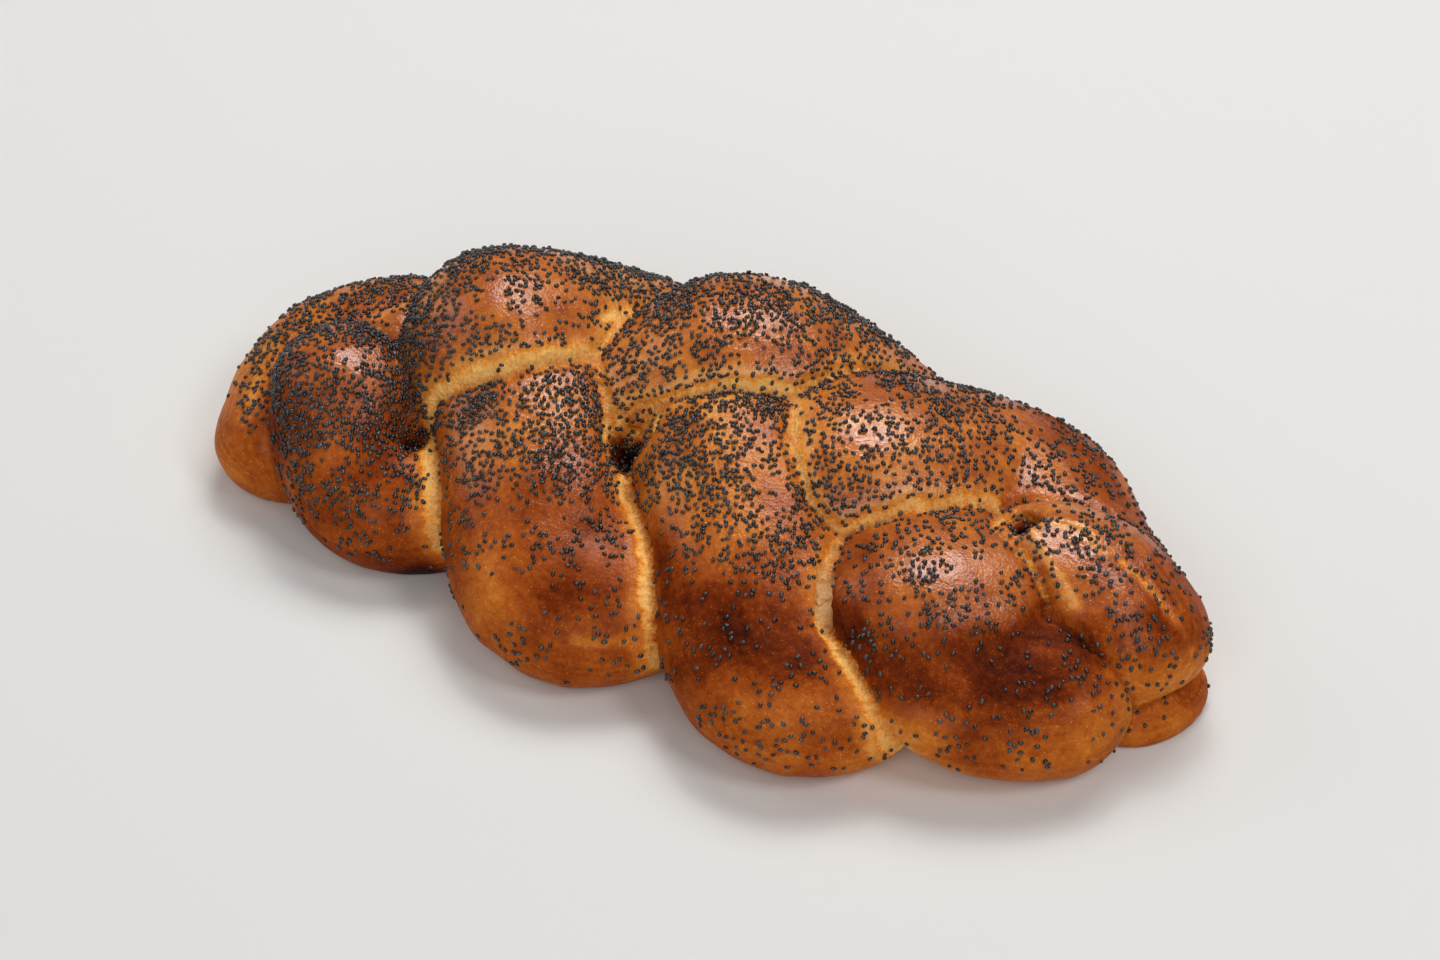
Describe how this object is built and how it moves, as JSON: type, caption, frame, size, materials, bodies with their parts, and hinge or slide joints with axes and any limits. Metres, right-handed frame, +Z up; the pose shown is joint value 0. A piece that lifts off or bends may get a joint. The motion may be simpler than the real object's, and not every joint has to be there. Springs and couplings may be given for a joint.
{
  "type": "braided bun",
  "caption": "Baked three-strand braided bun with rounded lobes, torn seams, a flat underside and small seeds over its crust.",
  "frame": {"origin": "middle of the bun's footprint box, on the surface that it rests on", "axes": "+X along the bun, towards its blunt end; +Y across it, towards the far side in the picture; +Z up"},
  "size_m": [0.2382, 0.1284, 0.0526],
  "materials": {
    "crust": "satin egg-washed crust"
  },
  "bodies": {
    "root": {"bun": "crust"}
  },
  "joints": []
}
